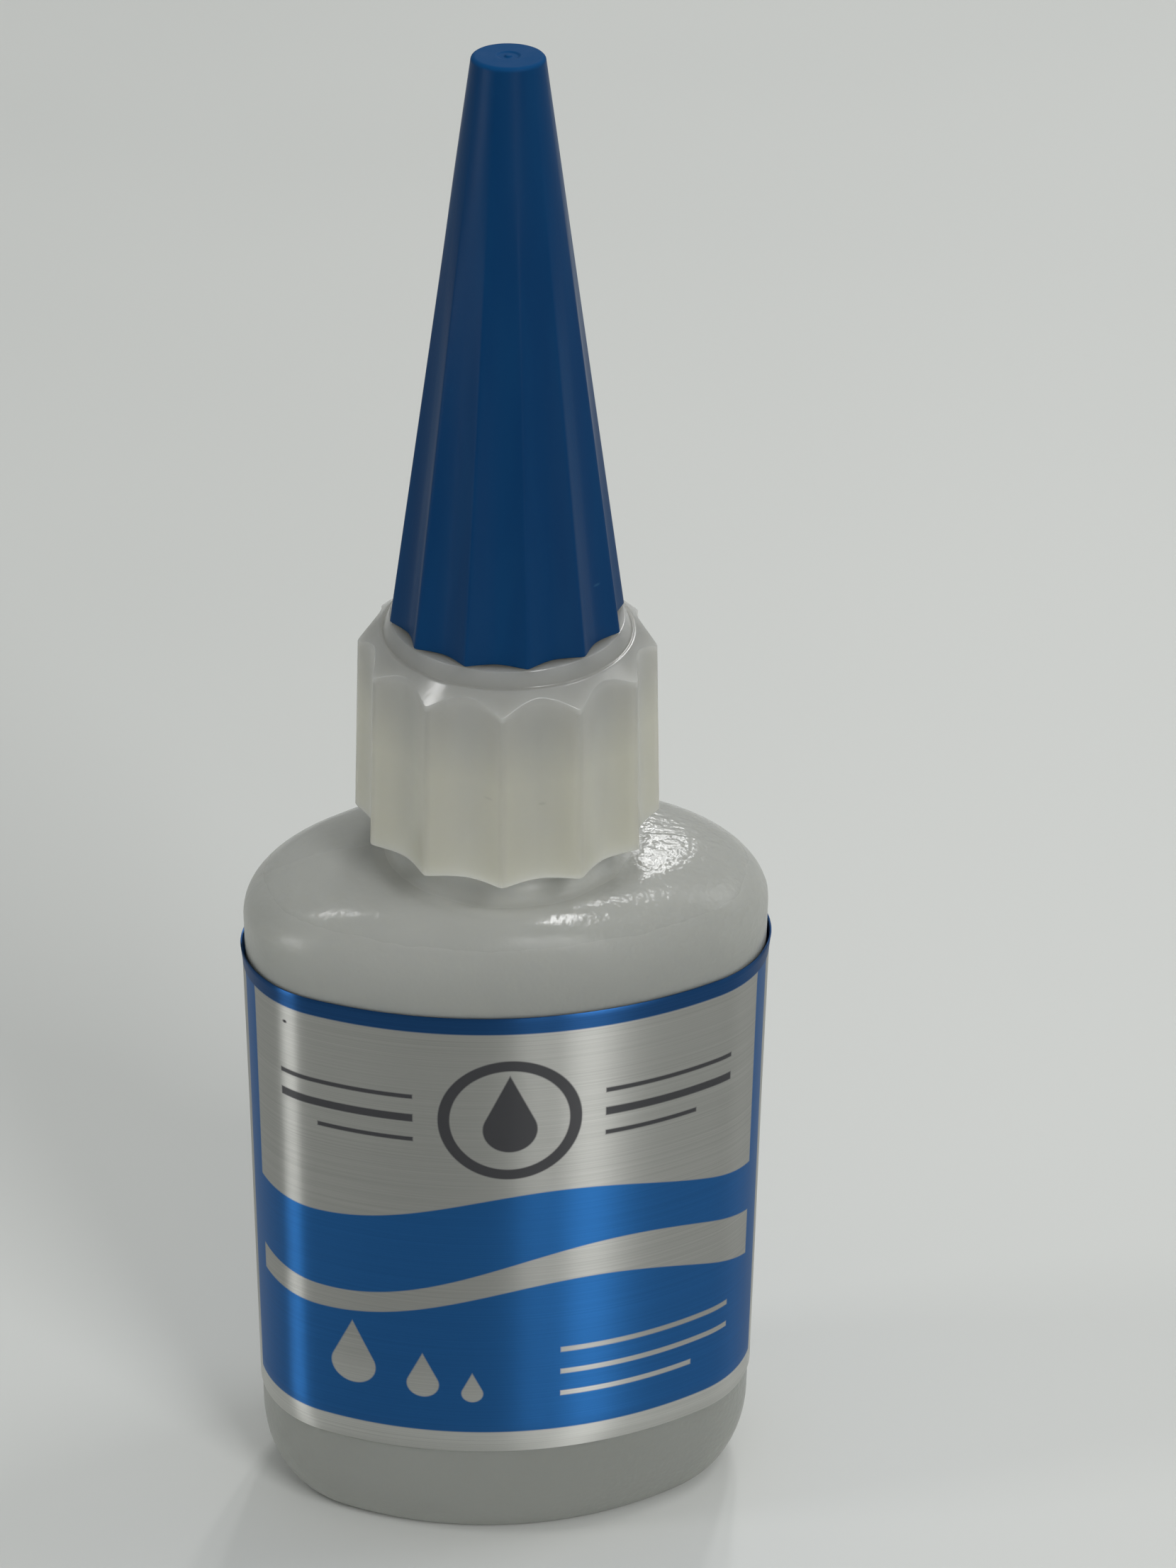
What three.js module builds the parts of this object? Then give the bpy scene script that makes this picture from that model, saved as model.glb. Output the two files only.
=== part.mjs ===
// Small oval squeeze bottle for liquid adhesive: bottle, wrap label, liquid, dispensing top and cone cap.
// Millimetres, +Z up, front towards -Y. The origin is the middle of the base, on the surface that it stands on.
import * as THREE from "three";

// Bottle: a four-arc oval wall between a rounded heel and a domed shoulder, with a round neck on top
const BODY_WIDTH = 32.6;
const BODY_DEPTH = 18.8;
const END_RADIUS = 7.15; // of the small arcs at the two ends of the oval
const BODY_HEIGHT = 44; // where the straight wall ends and the shoulder starts
const BOTTLE_WALL = 0.9;
const SHOULDER_RISE = 4.45;
const HEEL_HEIGHT = 5;
const HEEL_INSET_END = 2.6; // how far the heel draws in at the ends of the oval
const HEEL_INSET_FACE = 1.3; // and at its front and back
const FOOT_RING_WIDTH = 1.6; // the flat ring that the bottle stands on
const PUSH_UP_HEIGHT = 1.2; // the hollow under the base
const NECK_RADIUS = 6.2;
const NECK_WALL = 1.2;
const NECK_HEIGHT = 12.4; // from the shoulder to the sealing land
const NECK_ROOT_FILLET = 1.5;

// Label and liquid
const LABEL_THICKNESS = 0.1;
const LABEL_GLUE = 0.04; // the film between the label and the wall
const LABEL_FOOT_MARGIN = 2.5; // bare wall between the heel and the label
const LABEL_HEAD_MARGIN = 2.3; // bare wall between the label and the shoulder
const LABEL_SEAM = 1.2; // between the two ends of the wrap, at the back
const FILL_DEPTH = 33.8; // of liquid over the push-up's rim
const FILL_CLEARANCE = 0.3;

// Dispensing top: fluted skirt, chamfer, ledge, boss, spigot, nozzle and plug seal in one moulding
const SKIRT_GAP = 2.4; // between the shoulder and the skirt's lower edge
const THREAD_ROOM = 0.75; // between the plain neck and the plain bore of the skirt
const SKIRT_WALL = 1.1; // at the bottom of a flute, under the chamfer
const SKIRT_FLUTES = 12;
const SKIRT_FLUTE_DEPTH = 0.88;
const SKIRT_FLARE = 0.37; // the ridges' spread from the chamfer down to the lower edge
const TOP_TURN_DEG = -6.35; // where the screwed-down top has stopped, seen from the front ridge
const CHAMFER_HEIGHT = 1.03;
const CHAMFER_OVERRUN = 0.05; // how far the chamfer runs in past the bottoms of the flutes
const ROOF_THICKNESS = 2.17;
const LAND_CLEARANCE = 0.3; // between the neck's land and the roof
const BOSS_HEIGHT = 0.95;
const BOSS_LIP = 0.06; // how far the boss stands out past the cap's ridges
const SPIGOT_HEIGHT = 3.4; // the wide root of the nozzle, which the cap grips
const NOZZLE_LENGTH = 31.2; // from the boss to the tip
const NOZZLE_ROOT_RADIUS = 3.3;
const NOZZLE_TIP_RADIUS = 1.1;
const NOZZLE_WALL = 0.9;
const NOZZLE_TIP_EDGE = 0.2;
const ORIFICE_RADIUS = 0.5;
const PLUG_DEPTH = 2.5;
const PLUG_WALL = 0.9;
const PLUG_CLEARANCE = 0.25;

// Cap: a hollow cone whose flutes fade out towards its flat top
const CAP_BASE_RADIUS = 7.04; // over the ridges
const CAP_TOP_RADIUS = 2.07;
const CAP_WALL = 1; // at the bottom of a flute, at the base
const CAP_FLUTES = 12;
const CAP_FLUTE_DEPTH = 0.64;
const CAP_CROWN = 2.6; // solid plastic over the hollow
const CAP_EDGE = 0.15;
const CAP_TURN_DEG = 11.45; // its ridges against those of the top
const CAP_SEAT_GAP = 0.1;
const CAP_GRIP_CLEARANCE = 0.25; // round the spigot
const TIP_ROOM = 0.8; // between the nozzle's tip and the end of the hollow

// Facets
const ARC_STEPS = 12; // on each arc of the oval
const FLUTE_STEPS = 6; // across each flute
const HEEL_STEPS = 5;
const SHOULDER_STEPS = 7;
const FILLET_STEPS = 3;
const PUSH_UP_STEPS = 3;

// Sizes that follow from those above
const HALF_WIDTH = BODY_WIDTH / 2;
const HALF_DEPTH = BODY_DEPTH / 2;
const SHOULDER_TOP = BODY_HEIGHT + SHOULDER_RISE;
const LAND_HEIGHT = SHOULDER_TOP + NECK_HEIGHT;
const NECK_BORE = NECK_RADIUS - NECK_WALL;
const QUARTER_TURN = Math.PI / 2;

/** Evenly spaced numbers from one value to another, both included. */
function steps(from, to, count) {
  return Array.from({ length: count + 1 }, (_, i) => from + ((to - from) * i) / count);
}

/** The four-arc oval of the bottle, moved in by inset all round, anticlockwise from its right end. */
function ovalPoints(inset) {
  const endCentre = HALF_WIDTH - END_RADIUS;
  const faceRadius =
    (endCentre ** 2 + HALF_DEPTH ** 2 - END_RADIUS ** 2) / (2 * (HALF_DEPTH - END_RADIUS));
  const join = Math.atan2(faceRadius - HALF_DEPTH, endCentre); // where an end arc meets a face arc
  const arc = (x, y, radius, from, to) =>
    steps(from, to, ARC_STEPS)
      .slice(0, -1)
      .map((a) => new THREE.Vector2(x + radius * Math.cos(a), y + radius * Math.sin(a)));
  const end = END_RADIUS - inset;
  const face = faceRadius - inset;
  return [
    ...arc(endCentre, 0, end, -join, join),
    ...arc(0, HALF_DEPTH - faceRadius, face, join, Math.PI - join),
    ...arc(-endCentre, 0, end, Math.PI - join, Math.PI + join),
    ...arc(0, faceRadius - HALF_DEPTH, face, Math.PI + join, 2 * Math.PI - join),
  ];
}

/** A level ring through flat points. */
function levelRing(points, z) {
  return points.map((p) => new THREE.Vector3(p.x, p.y, z));
}

/** A circle with one point in the direction of each flat point. */
function circleTowards(points, radius, z) {
  return points.map((p) => {
    const d = p.clone().setLength(radius);
    return new THREE.Vector3(d.x, d.y, z);
  });
}

/** A ring scaled about the axis on each side of the oval. */
function scaledRing(points, scaleX, scaleY, z) {
  return points.map((p) => new THREE.Vector3(p.x * scaleX, p.y * scaleY, z));
}

/** Skins a row of rings that have the same number of points. Ends that aren't joined get a fan at their centre. */
function loft(rings, joinEnds = false) {
  const around = rings[0].length;
  const points = rings.flat();
  const index = [];
  const spans = joinEnds ? rings.length : rings.length - 1;
  for (let i = 0; i < spans; i++) {
    const low = i * around;
    const high = ((i + 1) % rings.length) * around;
    for (let j = 0; j < around; j++) {
      const k = (j + 1) % around;
      index.push(low + j, low + k, high + k, low + j, high + k, high + j);
    }
  }
  if (!joinEnds) {
    const first = points.length;
    const last = first + 1;
    const lastRing = (rings.length - 1) * around;
    const centreOf = (ring) =>
      ring.reduce((sum, p) => sum.add(p), new THREE.Vector3()).divideScalar(around);
    points.push(centreOf(rings[0]), centreOf(rings.at(-1)));
    for (let j = 0; j < around; j++) {
      const k = (j + 1) % around;
      index.push(first, k, j, last, lastRing + j, lastRing + k);
    }
  }
  const geometry = new THREE.BufferGeometry().setFromPoints(points).setIndex(index);
  geometry.computeVertexNormals();
  return geometry;
}

/** Rings of a base: the push-up from its middle, the flat foot ring, then the heel up to the wall. */
function baseRings(inset) {
  const wall = ovalPoints(inset);
  const footX = (HALF_WIDTH - HEEL_INSET_END) / HALF_WIDTH;
  const footY = (HALF_DEPTH - HEEL_INSET_FACE) / HALF_DEPTH;
  const rimX = footX - FOOT_RING_WIDTH / HALF_WIDTH;
  const rimY = footY - FOOT_RING_WIDTH / HALF_DEPTH;
  const pushUp = steps(0, 1, PUSH_UP_STEPS)
    .slice(1)
    .map((t) => scaledRing(wall, rimX * t, rimY * t, inset + PUSH_UP_HEIGHT * (1 - t * t)));
  const heel = steps(0, QUARTER_TURN, HEEL_STEPS).map((a) => {
    const out = Math.sin(a);
    const z = inset + (HEEL_HEIGHT - inset) * (1 - Math.cos(a));
    return scaledRing(wall, footX + (1 - footX) * out, footY + (1 - footY) * out, z);
  });
  return [...pushUp, ...heel];
}

/** Rings of a dome from the oval wall in to a circle: a quarter of an ellipse in every upright plane. */
function domeRings(inset, radius) {
  const wall = ovalPoints(inset);
  return steps(QUARTER_TURN, 0, SHOULDER_STEPS).map((a) => {
    const z = BODY_HEIGHT + (SHOULDER_RISE - inset) * Math.cos(a);
    const circle = circleTowards(wall, radius, z);
    return circle.map((p, i) => p.lerp(new THREE.Vector3(wall[i].x, wall[i].y, z), Math.sin(a)));
  });
}

function bottleGeometry() {
  const oval = ovalPoints(0);
  const rootFillet = steps(0, QUARTER_TURN, FILLET_STEPS)
    .slice(1)
    .map((a) => {
      const radius = NECK_RADIUS + NECK_ROOT_FILLET * (1 - Math.sin(a));
      return circleTowards(oval, radius, SHOULDER_TOP + NECK_ROOT_FILLET * (1 - Math.cos(a)));
    });
  return loft([
    ...baseRings(0),
    ...domeRings(0, NECK_RADIUS + NECK_ROOT_FILLET),
    ...rootFillet,
    circleTowards(oval, NECK_RADIUS, LAND_HEIGHT),
    circleTowards(oval, NECK_BORE, LAND_HEIGHT),
    ...domeRings(BOTTLE_WALL, NECK_BORE).reverse(),
    ...baseRings(BOTTLE_WALL).reverse(),
  ]);
}

/** The liquid: the inside of the bottle up to its level, a clearance in from the wall. */
function fillGeometry() {
  const inset = BOTTLE_WALL + FILL_CLEARANCE;
  return loft([...baseRings(inset), levelRing(ovalPoints(inset), inset + FILL_DEPTH)]);
}

/** The label: the oval's outline as a thin open strip, with its seam at the middle of the back. */
function labelGeometry() {
  const strip = (inset) => {
    const points = ovalPoints(inset);
    const backMiddle = ARC_STEPS + ARC_STEPS / 2;
    const inOrder = [...points.slice(backMiddle), ...points.slice(0, backMiddle)];
    const seamEnd = (x) => new THREE.Vector2(x, inOrder[0].y);
    const between = inOrder.filter((p) => p.y < 0 || Math.abs(p.x) > LABEL_SEAM);
    return [seamEnd(-LABEL_SEAM / 2), ...between, seamEnd(LABEL_SEAM / 2)];
  };
  const outer = strip(-LABEL_GLUE - LABEL_THICKNESS);
  const inner = strip(-LABEL_GLUE);
  const foot = HEEL_HEIGHT + LABEL_FOOT_MARGIN;
  const depth = BODY_HEIGHT - LABEL_HEAD_MARGIN - foot;
  const shape = new THREE.Shape([...outer, ...inner.reverse()]);
  return new THREE.ExtrudeGeometry(shape, { depth, bevelEnabled: false }).translate(0, 0, foot);
}

/** A plain circle with as many points as a fluted ring of that many flutes. */
function roundRing(radius, z, flutes) {
  return flutedPoints(radius, 0, flutes).map((p) => new THREE.Vector3(p.x, p.y, z));
}

/** Flat points round a fluted section: between two ridges the radius dips as a parabola. A ridge faces front. */
function flutedPoints(ridgeRadius, depth, flutes) {
  const count = flutes * FLUTE_STEPS;
  return Array.from({ length: count }, (_, i) => {
    const across = (2 * (i % FLUTE_STEPS)) / FLUTE_STEPS - 1; // from -1 at a ridge to 1 at the next
    const radius = ridgeRadius - depth * (1 - across * across);
    const angle = (2 * Math.PI * i) / count - QUARTER_TURN;
    return new THREE.Vector2(radius * Math.cos(angle), radius * Math.sin(angle));
  });
}

// Heights and radii of the dispensing top, from its own lower edge up
const SKIRT_BOTTOM = SHOULDER_TOP + SKIRT_GAP;
const ROOF_UNDERSIDE = LAND_HEIGHT + LAND_CLEARANCE - SKIRT_BOTTOM;
const LEDGE_HEIGHT = ROOF_UNDERSIDE + ROOF_THICKNESS;
const BOSS_TOP = LEDGE_HEIGHT + BOSS_HEIGHT;
const NOZZLE_TIP = BOSS_TOP + NOZZLE_LENGTH;
const SKIRT_BORE = NECK_RADIUS + THREAD_ROOM;
const RIDGE_RADIUS = SKIRT_BORE + SKIRT_WALL + SKIRT_FLUTE_DEPTH;
const CAP_BORE = CAP_BASE_RADIUS - CAP_FLUTE_DEPTH - CAP_WALL;

function dispensingTopGeometry() {
  const ring = (radius, z) => roundRing(radius, z, SKIRT_FLUTES);
  const chamferWidth = SKIRT_FLUTE_DEPTH + CHAMFER_OVERRUN;
  const ridgeTop = LEDGE_HEIGHT - CHAMFER_HEIGHT;
  const lowerEdge = flutedPoints(RIDGE_RADIUS + SKIRT_FLARE, SKIRT_FLUTE_DEPTH, SKIRT_FLUTES);
  // The chamfer's cone meets each flute in an arch, which rises as the flute dips.
  const arches = flutedPoints(RIDGE_RADIUS, SKIRT_FLUTE_DEPTH, SKIRT_FLUTES).map((p) => {
    const rise = ((RIDGE_RADIUS - p.length()) * CHAMFER_HEIGHT) / chamferWidth;
    return new THREE.Vector3(p.x, p.y, ridgeTop + rise);
  });
  const bossRadius = CAP_BASE_RADIUS + BOSS_LIP;
  const spigotRadius = CAP_BORE - CAP_GRIP_CLEARANCE;
  const spigotTop = BOSS_TOP + SPIGOT_HEIGHT;
  const plugRadius = NECK_BORE - PLUG_CLEARANCE;
  const plugBottom = ROOF_UNDERSIDE - PLUG_DEPTH;
  return loft(
    [
      levelRing(lowerEdge, 0),
      arches,
      ring(RIDGE_RADIUS - chamferWidth, LEDGE_HEIGHT),
      ring(bossRadius, LEDGE_HEIGHT),
      ring(bossRadius, BOSS_TOP),
      ring(spigotRadius, BOSS_TOP),
      ring(spigotRadius, spigotTop),
      ring(NOZZLE_ROOT_RADIUS, spigotTop),
      ring(NOZZLE_TIP_RADIUS, NOZZLE_TIP - NOZZLE_TIP_EDGE),
      ring(NOZZLE_TIP_RADIUS - NOZZLE_TIP_EDGE, NOZZLE_TIP),
      ring(ORIFICE_RADIUS, NOZZLE_TIP),
      ring(NOZZLE_ROOT_RADIUS - NOZZLE_WALL, spigotTop),
      ring(plugRadius - PLUG_WALL, ROOF_UNDERSIDE),
      ring(plugRadius - PLUG_WALL, plugBottom),
      ring(plugRadius, plugBottom),
      ring(plugRadius, ROOF_UNDERSIDE),
      ring(SKIRT_BORE, ROOF_UNDERSIDE),
      ring(SKIRT_BORE, 0),
    ],
    true,
  );
}

function capGeometry() {
  const ring = (radius, z) => roundRing(radius, z, CAP_FLUTES);
  const hollowTop = NOZZLE_LENGTH - CAP_SEAT_GAP + TIP_ROOM;
  const top = hollowTop + CAP_CROWN;
  const base = flutedPoints(CAP_BASE_RADIUS, CAP_FLUTE_DEPTH, CAP_FLUTES);
  return loft([
    ring(NOZZLE_TIP_RADIUS + CAP_GRIP_CLEARANCE, hollowTop),
    ring(CAP_BORE, SPIGOT_HEIGHT),
    ring(CAP_BORE, 0),
    levelRing(base, 0),
    ring(CAP_TOP_RADIUS, top - CAP_EDGE),
    ring(CAP_TOP_RADIUS - CAP_EDGE, top),
  ]);
}

function piece(name, geometry, material) {
  const mesh = new THREE.Mesh(geometry, new THREE.MeshStandardMaterial(material));
  mesh.name = name;
  return mesh;
}

const capGroup = new THREE.Group();
capGroup.position.z = BOSS_TOP + CAP_SEAT_GAP;
capGroup.rotation.z = THREE.MathUtils.degToRad(CAP_TURN_DEG);
capGroup.add(piece("cap", capGeometry(), { color: 0x0b3d6e, roughness: 0.45, metalness: 0 }));

const topGroup = new THREE.Group();
topGroup.position.z = SKIRT_BOTTOM;
topGroup.rotation.z = THREE.MathUtils.degToRad(TOP_TURN_DEG);
topGroup.add(
  piece("dispensing_top", dispensingTopGeometry(), { color: 0xc9c8bb, roughness: 0.5, metalness: 0 }),
  capGroup,
);

const group = new THREE.Group();
group.add(
  piece("bottle", bottleGeometry(), { color: 0xc4c8c4, roughness: 0.4, metalness: 0 }),
  piece("label", labelGeometry(), { color: 0xb9bab6, roughness: 0.3, metalness: 0.9 }),
  piece("adhesive_fill", fillGeometry(), { color: 0xe6e8e4, roughness: 0.05, metalness: 0 }),
  topGroup,
);

export default group;
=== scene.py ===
"""Looks of a small oval squeeze bottle for liquid adhesive.

The bottle, its foil wrap, the liquid, the dispensing top and the cone cap are
surfaces worked out in millimetres, in the frame of the solids they stand for.
"""

import logging
import math
from dataclasses import dataclass
from enum import Enum
from functools import reduce
from typing import Any, Callable, Optional, Sequence, Union

import bpy
import numpy as np
from mathutils import Matrix, Quaternion, Vector


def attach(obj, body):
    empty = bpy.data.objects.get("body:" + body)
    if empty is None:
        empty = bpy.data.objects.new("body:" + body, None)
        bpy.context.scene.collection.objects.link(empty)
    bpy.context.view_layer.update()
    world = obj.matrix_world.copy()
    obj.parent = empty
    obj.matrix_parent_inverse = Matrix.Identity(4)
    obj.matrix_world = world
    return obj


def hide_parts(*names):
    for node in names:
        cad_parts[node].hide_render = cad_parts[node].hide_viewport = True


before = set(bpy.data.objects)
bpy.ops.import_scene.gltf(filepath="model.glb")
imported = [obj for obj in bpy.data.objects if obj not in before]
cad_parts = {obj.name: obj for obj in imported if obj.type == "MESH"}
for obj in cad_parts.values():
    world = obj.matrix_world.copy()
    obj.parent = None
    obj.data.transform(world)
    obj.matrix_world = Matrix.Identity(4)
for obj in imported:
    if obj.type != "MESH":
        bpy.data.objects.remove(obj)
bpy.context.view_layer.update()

LOG = logging.getLogger("adhesive_bottle")
MM = 0.001
FULL_TURN = 2 * np.pi
QUARTER_TURN = np.pi / 2
SHARP_EDGE = math.radians(50)
SAME = 1e-6
SHORTEST = 1e-9
LONGEST_FILLET = 0.45
BEND_PARTS = 4
HOLD = 0.03
WRAP_MAP = "wrap"
PLASTIC_IOR = 1.5
Span = tuple[float, float]
Triple = tuple[float, float, float]
Colour = Triple


class Ends(Enum):
    """How the two ends of a row of rings are closed."""

    JOINED = "the last ring meets the first"
    CAPPED = "each end ring is closed by a fan at its middle"


def add_object(name: str, data: bpy.types.ID) -> bpy.types.Object:
    """Adds an object to the scene.

    Args:
        name: Its name.
        data: Its mesh, lamp or camera.

    Returns:
        The object, at the origin.
    """
    made = bpy.data.objects.new(name, data)
    bpy.context.scene.collection.objects.link(made)
    return made


@dataclass
class Skin:
    """A closed surface over a row of rings that have the same number of points.

    Seen with the surface's outside towards the viewer, the points of a ring run
    to the right while the rings run up.
    """

    name: str
    rings: np.ndarray
    ends: Ends
    wrap: Optional[np.ndarray] = None

    def faces(self) -> list[list[int]]:
        """Works out the quads between rings and, on capped ends, the fans.

        Quad (i, j) joins points j and j + 1 of ring i to those of ring i + 1,
        and both indices start again from 0 where the surface closes.

        Returns:
            Lists of vertex numbers.
        """
        count, around = self.rings.shape[:2]
        spans = count if self.ends is Ends.JOINED else count - 1
        low, step = np.meshgrid(np.arange(spans), np.arange(around), indexing="ij")
        high, after = (low + 1) % count, (step + 1) % around
        corners = ((low, step), (low, after), (high, after), (high, step))
        quads = np.stack([ring * around + point for ring, point in corners], -1)
        found = quads.reshape(-1, 4).tolist()
        if self.ends is Ends.CAPPED:
            here = np.arange(around)
            after = (here + 1) % around
            first, last = count * around, (count - 1) * around
            start = np.stack([np.full(around, first), after, here], -1)
            finish = np.stack([np.full(around, first + 1), last + here, last + after], -1)
            found += np.concatenate([start, finish]).tolist()
        return found

    def points(self, values: np.ndarray) -> np.ndarray:
        """Lists what is known at each ring point, then end rings' means where fans need them."""
        means = [values[[0, -1]].mean(axis=1)] if self.ends is Ends.CAPPED else []
        return np.concatenate([values.reshape(-1, values.shape[-1]), *means])

    def place(self, body: str, node: str, slot: str, material: bpy.types.Material) -> None:
        """Makes the piece, in metres, smooth but for its creases, to stand for its solid.

        Args:
            body: The body that it moves with.
            node: The solid that it stands for.
            slot: The record's material slot; not used.
            material: Its finish.
        """
        mesh = bpy.data.meshes.new(self.name)
        mesh.from_pydata((self.points(self.rings) * MM).tolist(), [], self.faces())
        if self.wrap is not None:
            corners = np.empty(len(mesh.loops), dtype=np.int32)
            mesh.loops.foreach_get("vertex_index", corners)
            layer = mesh.uv_layers.new(name=WRAP_MAP)
            layer.data.foreach_set("uv", self.points(self.wrap)[corners].ravel())
        mesh.validate()
        mesh.shade_smooth()
        mesh.set_sharp_from_angle(angle=SHARP_EDGE)
        mesh.materials.append(material)
        made = add_object(self.name, mesh)
        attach(made, body)
        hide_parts(node)
        LOG.info("%s: %d faces, rides on %s", made.name, len(mesh.polygons), body)


@dataclass(frozen=True)
class Corner:
    """A corner of a profile, the same or not in every column, and the span that follows it."""

    radius: Union[float, np.ndarray]
    height: Union[float, np.ndarray]
    fillet: float = 0.0
    parts: int = 1


def rounded_profile(corners: Sequence[Corner], columns: int, closed: bool) -> np.ndarray:
    """Rounds the corners of a profile in every column and divides its straight spans.

    A corner becomes a quadratic curve that starts and ends a fillet's length away
    from it, at most a share of the span, with the corner as its control point. A span
    in several parts also has a row close to each end, which keeps its shading flat.

    Args:
        corners: The corners in order.
        columns: How many columns there are.
        closed: Whether the last corner is followed by the first.

    Returns:
        Rows x columns x 2, as radius and height.
    """
    count = len(corners)
    at = np.empty((count, columns, 2))
    for place, corner in zip(at, corners):
        place[:, 0], place[:, 1] = corner.radius, corner.height
    starts, ends, rows = at.copy(), at.copy(), []
    bends = range(count) if closed else range(1, count - 1)
    for k in bends:
        for moved, other in ((starts, at[k - 1]), (ends, at[(k + 1) % count])):
            reach = other - at[k]
            length = np.maximum(np.linalg.norm(reach, axis=-1, keepdims=True), SHORTEST)
            moved[k] += reach * np.minimum(corners[k].fillet / length, LONGEST_FILLET)
    t = np.linspace(0, 1, BEND_PARTS + 1)[:, None, None]
    for k, corner in enumerate(corners):
        bend = (1 - t) ** 2 * starts[k] + 2 * t * (1 - t) * at[k] + t**2 * ends[k]
        rows.append(bend if k in bends else at[k][None])
        if closed or k < count - 1:
            along = np.linspace(0, 1, corner.parts + 1)[1:-1]
            if corner.parts > 1:
                along = np.concatenate([[HOLD], along, [1 - HOLD]])
            rows.append(ends[k] + (starts[(k + 1) % count] - ends[k]) * along[:, None, None])
    return np.concatenate(rows)


def smooth_step(values: np.ndarray, low: float, high: float) -> np.ndarray:
    """Rises from 0 at low to 1 at high as 3t^2 - 2t^3."""
    t = np.clip((values - low) / (high - low), 0, 1)
    return t * t * (3 - 2 * t)


@dataclass(frozen=True)
class ScrewThread:
    """One right-hand thread whose height is a rounded bar wound round an upright axis.

    Crest and foot are shares of the width, and the run-out is a share of the pitch.
    """

    pitch: float
    height: float
    width: float
    start: float
    end: float
    shift: float = 0.0
    crest: float = 0.2
    foot: float = 0.5
    run_out: float = 0.35

    def rise(self, angle: np.ndarray, z: np.ndarray) -> np.ndarray:
        """Works out how far the thread stands off the plain wall.

        The distance from the nearest turn is the height above the helix, taken to
        the nearest whole pitch. The bar's flanks are smooth steps, and so are its
        run-outs at both ends.

        Args:
            angle: Angles round the axis.
            z: Heights.

        Returns:
            Heights of the thread, in the shape of both arguments together.
        """
        turns = (z - self.start) / self.pitch - angle / FULL_TURN + self.shift
        off = np.abs(turns - np.round(turns)) * self.pitch
        bar = 1 - smooth_step(off, self.crest * self.width, self.foot * self.width)
        fade = self.run_out * self.pitch
        begun = smooth_step(z, self.start, self.start + fade)
        ended = smooth_step(z, self.end - fade, self.end)
        return self.height * bar * (begun * (1 - ended))


@dataclass(frozen=True)
class Oval:
    """Four-arc oval: two small end arcs and two large face arcs that meet smoothly."""

    half_width: float = 16.3
    half_depth: float = 9.4
    end_radius: float = 7.15

    @property
    def end_centre(self) -> float:
        """Distance of an end arc's centre from the middle."""
        return self.half_width - self.end_radius

    @property
    def face_radius(self) -> float:
        """Radius of the face arcs, which touch both end arcs and reach the half depth."""
        rise = self.half_depth - self.end_radius
        return (self.end_centre**2 + self.half_depth**2 - self.end_radius**2) / (2 * rise)

    @property
    def join(self) -> float:
        """Normal angle at which the right end arc meets the back face arc."""
        return math.atan2(self.face_radius - self.half_depth, self.end_centre)

    def points(self, angle: np.ndarray, inset: float) -> np.ndarray:
        """Works out points from the direction of their normals.

        A point is the centre of its arc plus the arc's radius, less the inset,
        along the normal.

        Args:
            angle: Directions of the normals.
            inset: How far the oval is moved in.

        Returns:
            Flat points, angles x 2.
        """
        c, s = np.cos(angle), np.sin(angle)
        on_end = np.abs(c) >= math.cos(self.join)
        x = np.where(on_end, np.sign(c) * self.end_centre, 0)
        y = np.where(on_end, 0, np.sign(s) * (self.half_depth - self.face_radius))
        reach = np.where(on_end, self.end_radius, self.face_radius) - inset
        return np.stack([x + reach * c, y + reach * s], -1)

    def measure(self, inset: float) -> tuple[np.ndarray, np.ndarray]:
        """Measures the outline from the right end on: each arc adds its radius times its turn.

        Args:
            inset: How far the oval is moved in.

        Returns:
            Normal angles at which arcs meet, and the length up to each.
        """
        j = self.join
        knots = np.array([0, j, np.pi - j, np.pi + j, FULL_TURN - j, FULL_TURN])
        radii = np.array([self.end_radius, self.face_radius] * 2 + [self.end_radius]) - inset
        return knots, np.concatenate([[0], np.cumsum(radii * np.diff(knots))])

    def around(self, inset: float = 0.0) -> float:
        """Length of the whole outline."""
        return self.measure(inset)[1][-1]

    def angles_at(self, length: np.ndarray, inset: float) -> np.ndarray:
        """Finds the normal angles at lengths along the outline, from the right end on."""
        knots, lengths = self.measure(inset)
        return np.interp(length, lengths, knots)

    def off_ends(self, length: np.ndarray) -> np.ndarray:
        """Finds how far lengths along the outline are from the nearer end of the oval."""
        half = self.around() / 2
        return np.abs((length + half / 2) % half - half / 2)


def sums(operation: str, swapped: bool = False) -> Callable[..., "Value"]:
    """Makes a method of Value that adds a Math node.

    Args:
        operation: The node's operation.
        swapped: Whether the value comes after the other operand.

    Returns:
        The method.
    """

    def method(self: "Value", *others: "Number") -> "Value":
        """Adds the Math node on the value and the others."""
        inputs = dict(enumerate((*others, self) if swapped else (self, *others)))
        return self.graph.node("ShaderNodeMath", {"operation": operation}, inputs)

    return method


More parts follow.
